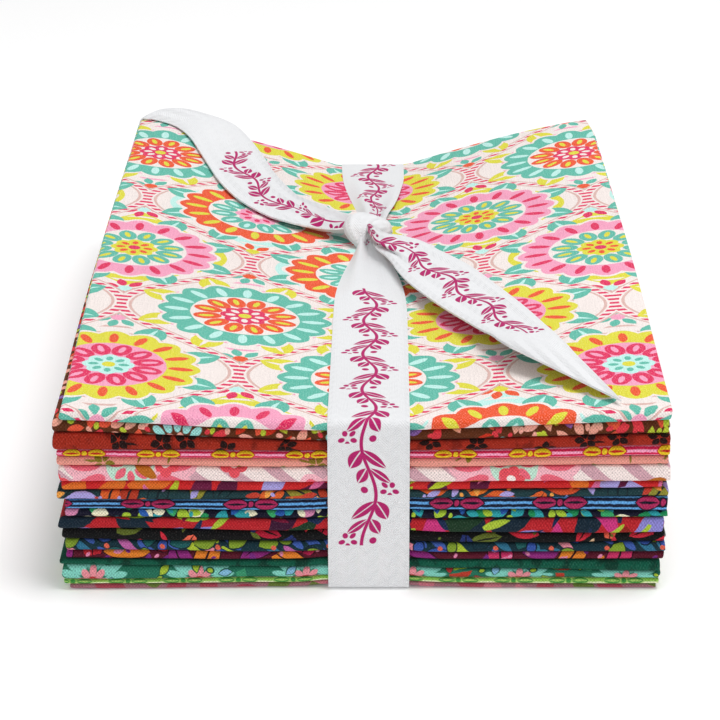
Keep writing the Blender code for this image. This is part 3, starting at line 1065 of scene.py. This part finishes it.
def tesserae(p, size, seed, colours, gap):
    """A mosaic of rounded shapes."""
    place = pair(p.u / size + seed, p.v / (size * SQUASH))
    edge = voronoi(place, "Distance", SCATTER, "DISTANCE_TO_EDGE")
    pick = parts(voronoi(place, "Color", SCATTER))[0]
    p.paint(edge * size - gap, palette(pick, colours))


def dots(p, pitch, size, colour):
    x, y, _ = p.tile(pitch, pitch, 0.0, 0.0)
    p.paint(disc(polar(x, y), size / 2), colour)


def mottles(p, colour, size, level=0.56):
    p.paint((noise(p.u / size, p.v / size, 3.0) - level) * size, colour, 0.5)


def rayed_flowers(p, wide, tall, rays, radius, colours):
    """Rows of flowers with thin rays."""
    around, ray, inner, middle = colours.split()
    x, y, _ = p.tile(wide, tall, 0.2, 0.64, 0.0)
    rose = polar(x, y)
    p.paint(disc(rose, radius + 0.6), around)
    p.paint(ovals(rose, rays, 3.0, radius, radius * 0.22, 0.1), ray)
    p.paint(ovals(rose, 8, 1.0, 3.6, 1.6), inner)
    p.paint(disc(rose, 1.2), middle)


def lines(p, colour, pitch, wide, shift=0.0):
    p.paint(stripe(p.v + shift, pitch, wide), colour)


def leaf_pairs(p, every, long, tall, colour, line, shift):
    """Rows of ribbed leaves in pairs, end to end, with a dot between."""
    x, y, _ = p.tile(every, 9, shift, 0.44, 0.0)
    along = abs(x) - long / 2 - 0.7
    outlined(p, leaf(along, y, long, tall), colour, line)
    p.paint(leaf(along, y, long * 0.85, 0.5), line)
    outlined(p, disc(polar(x, y), 0.6), colour, line)


# Each print's ground and what is printed on it, from the top quarter down
PRINTS = (
    (BLUSH, [(medallions,)]),
    ("5A2C14", [(ringed_flowers,)]),
    ("9C2817", [(mottles, "7A1C0D", 5), (sprigs, "200A08", 8, 2.3, 0.8, 1.7)]),
    ("CE1E4C", [
        (lines, "F5A3C2", 1.05, 0.5, 0.5),
        (leaf_pairs, 17, 4.2, 2.3, "E2C022", "BC221C", 0.1),
    ]),
    ("E6988A", [(sprigs, "857426", 7.5, 7.7, 0.8, 1.5)]),
    ("F3E2DE", [(daisies,)]),
    ("CC282A", [
        (foliage, 10, 1.4, 13, 4.6,
         "C8357F D0302E 5A1638 B8C832 A9A0DC E0702A 6A1A40 D0302E B8C832"),
        (foliage, 8, 2.9, 9, 1.8, "B8C832 5A1638 D96A9A 5A1638", None, 0.7),
    ]),
    ("1E3C40", [
        (foliage, 7.5, 8.2, 9.5, 4.2, "A9A0DC E0762A 1E3C40 B03A24 8E8A32 C8502A D8602A", "14242A"),
        (petals, 6, 5.1, 3.6, 1.5, "EFA24A A9A0DC C04030"),
    ]),
    ("141C34", [
        (lines, "62A4E0", 1.06, 0.46, 0.53),
        (leaf_pairs, 24, 5.6, 2.5, "A82858", "100E22", 0.7),
    ]),
    ("131328", [
        (petals, 4.6, 0.4, 4.6, 2.8, "F2EDCC 1E8A54 2EA0A8 A8C83A F2EDCC 1E8A54 D98AB0 3AA868"),
        (petals, 5.3, 9.4, 3.0, 1.7, "A8C83A 2EA0A8 F2EDCC 2E60B0"),
    ]),
    ("B4222A", [
        (foliage, 9.5, 4.9, 13, 5.4,
         "C8357A 142634 1A2A4C A8C03A 3A1430 8A84CC 8A2018 1C3824 142634"),
        (foliage, 7, 1.9, 8, 1.5, "7A1838 A8C03A 1A2A4C 5A1028", None, 0.6),
    ]),
    ("0C0C0E", [
        (foliage, 7, 2.2, 8.5, 3.2,
         "B01C36 5E6A28 0C0C0E 5E6A28 E4644C 0C0C0E C8283A 22306A 0C0C0E", "0C0C0E"),
        (petals, 8, 6.4, 3, 1.1, "5E6A28 C8283A D8B490"),
    ]),
    ("12303A", [
        (slants, 2.7, 2.1, 0.75, "B860A0 3E5CA8 12303A A8BE34 12303A 2E6C8A 12303A E08A9A 3E5CA8"),
        (petals, 8, 3.3, 6, 3.8, "3452A0 7E9A2E 12303A 1E5A5A", "0C1E28"),
        (dots, 6.5, 1.2, "D8604A"),
    ]),
    ("5A1428", [
        (foliage, 9.5, 6.6, 13, 5.6,
         "E4822C C42632 CC3466 8E2A7A B82450 1C3820 C42A38 CC3466", "2A0C1C"),
        (petals, 5, 8.8, 2.8, 1.5, "E88AB0 7A2A80 E4822C"),
    ]),
    ("0E5642", [(mottles, "073A2C", 4.5, 0.57)]),
    ("26725A", [
        (tesserae, 11, 1.1, "26725A A8C23A 26725A B83C2C 3C9870", 0.6),
        (rayed_flowers, 25, 18, 19, 8.2, "26725A 82D0C0 E8909A B83434"),
        (petals, 7, 4.1, 3.0, 1.6, "B83434 A8C23A 84BCDC", "1A543E"),
    ]),
    ("96C858", [(lines, "E4ECC0", 1.5, 0.6), (leaf_pairs, 13, 4.0, 1.5, "3E9040", "A0CC68", 0.3)]),
    ("A8707C", [(foliage, 8, 4.4, 10, 4.2, "D07888 6E7C3C 7AB898 B04858 6E7C3C")]),
)


def cut_edge(number, code):
    """The wrong side and the cut edges: the print shows through, paler."""
    p = Print(f"wrong_side_{number:02d}", code)
    p.colour = blend(p.tree, 0.35, linear(code), "F2EDE8")
    return p.cotton()


def printed(number):
    """A quarter's two materials: its printed side, and its wrong side with the cut edges."""
    ground, layers = PRINTS[number]
    p = Print(f"print_{number + 1:02d}", ground)
    for motif, *settings in layers:
        motif(p, *settings)
    woven = p.cotton() if number else p.cotton(grain=0.34, slub=0.13, fleck=0.5)
    return [woven, cut_edge(number + 1, ground)]


# The tape's weave and its print, in millimetres
BONE_PITCH, TWILL_PITCH, BEAD_PITCH, SELVEDGE = 4.8, 0.72, 0.9, 8.6
SPRAY_PITCH = 13.0
SPRAYS = 13.0  # in each repeat


def tape_weave():
    """Bleached herringbone tape with a running sprig printed down its middle."""
    p = Print("tape_weave", "E8E9EB", 0.05)
    across, along = p.flat_u + CORNER_U - TAPE_WIDTH * PER_METRE / 2, p.flat_v + CORNER_V
    bone = abs(wrap(across, BONE_PITCH))
    twill = sin((along + bone) * (2 * math.pi / TWILL_PITCH))
    beads = sin(along * (2 * math.pi / BEAD_PITCH)) * (abs(across) > SELVEDGE)
    sway = sin(along * (math.pi / SPRAY_PITCH)) * 1.7
    x, y = wrap(along, SPRAY_PITCH), across - sway
    side = (wrap(along, 2 * SPRAY_PITCH) > 0.0) * 2 - 1
    spray = floor(along / SPRAY_PITCH + 0.5)
    in_print = abs(wrap(spray - 2, SPRAYS)) * 9 - 14  # plain for three sprays in each repeat
    vine = 0.42 - abs(y)
    for at, long, wide in ((-2.6, 6.4, 2.9), (1.6, 5.2, 2.4)):
        for way in (1, -1):
            lx, ly = turned(x - at, y - 2.1 * way, 0.75 * way)
            vine = high(vine, low(leaf(lx, ly, long, wide), abs(ly) - 0.12))
    vine = high(vine, disc(polar(x - 5.2, y + side * 2.6), 0.85))
    vine = high(vine, ovals(polar(x - 5.2, y - side * 3.2), 5, 0.7, 2.3, 1.2))
    p.paint(low(vine, in_print), "B5246A")
    made = p.cotton(0.30, 0.00003, 0.10, 0.03)
    p.relief(twill * 0.5 + beads * 0.6, 0.9, 0.00010)
    return made


PAPER = {
    "Base Color": linear("FCFCFC"),
    "Roughness": 0.9,
    "Emission Color": (1, 1, 1, 1),
    "Emission Strength": 0.08,
}


def floor_paper():
    made = bpy.data.materials.new("floor_paper")
    made.use_nodes = True
    tune(made.node_tree.nodes["Principled BSDF"], PAPER)
    return made


# ---- the room

# Lights: place, size and watts
LIGHTS = {
    "key": ((0.24, -0.12, 1.2), 0.6, 9.2),
    "fill": ((-0.25, -1.3, 0.7), 1.0, 2.0),
}
SKY = {"Color": (1, 1, 1, 1), "Strength": 0.52}


def room():
    """A white floor and soft light."""
    bpy.ops.mesh.primitive_plane_add(size=6, location=(0, 0, -TABLE_GAP))
    paper = bpy.context.object
    paper.name = "floor"
    paper.data.materials.append(floor_paper())

    world = bpy.data.worlds.new("studio")
    bpy.context.scene.world = world
    world.use_nodes = True
    tune(world.node_tree.nodes["Background"], SKY)

    for name, (place, size, power) in LIGHTS.items():
        light = bpy.data.lights.new(name, "AREA")
        light.size = size
        light.energy = power
        lamp = bpy.data.objects.new(name, light)
        lamp.location = place
        lamp.rotation_euler = (-Vector(place)).to_track_quat("-Z", "Y").to_euler()
        bpy.context.scene.collection.objects.link(lamp)


def camera():
    """The photograph's view: a long lens in front of the folds, looking down at 22 degrees."""
    lens = bpy.data.cameras.new("camera")
    lens.lens = 135
    lens.sensor_width = 36
    lens.clip_end = 20
    eye = bpy.data.objects.new("camera", lens)
    eye.location = (0.00102, -0.68353, 0.28904)
    eye.rotation_euler = [math.radians(a) for a in (67.943, 0.116, 0.170)]
    bpy.context.scene.collection.objects.link(eye)
    bpy.context.scene.camera = eye


camera()
room()
for number, quarter in enumerate(QUARTERS):
    folded_quarter(number, quarter, printed(number))
ribbon([tape_weave()])

bpy.context.scene.view_settings.view_transform = "Standard"
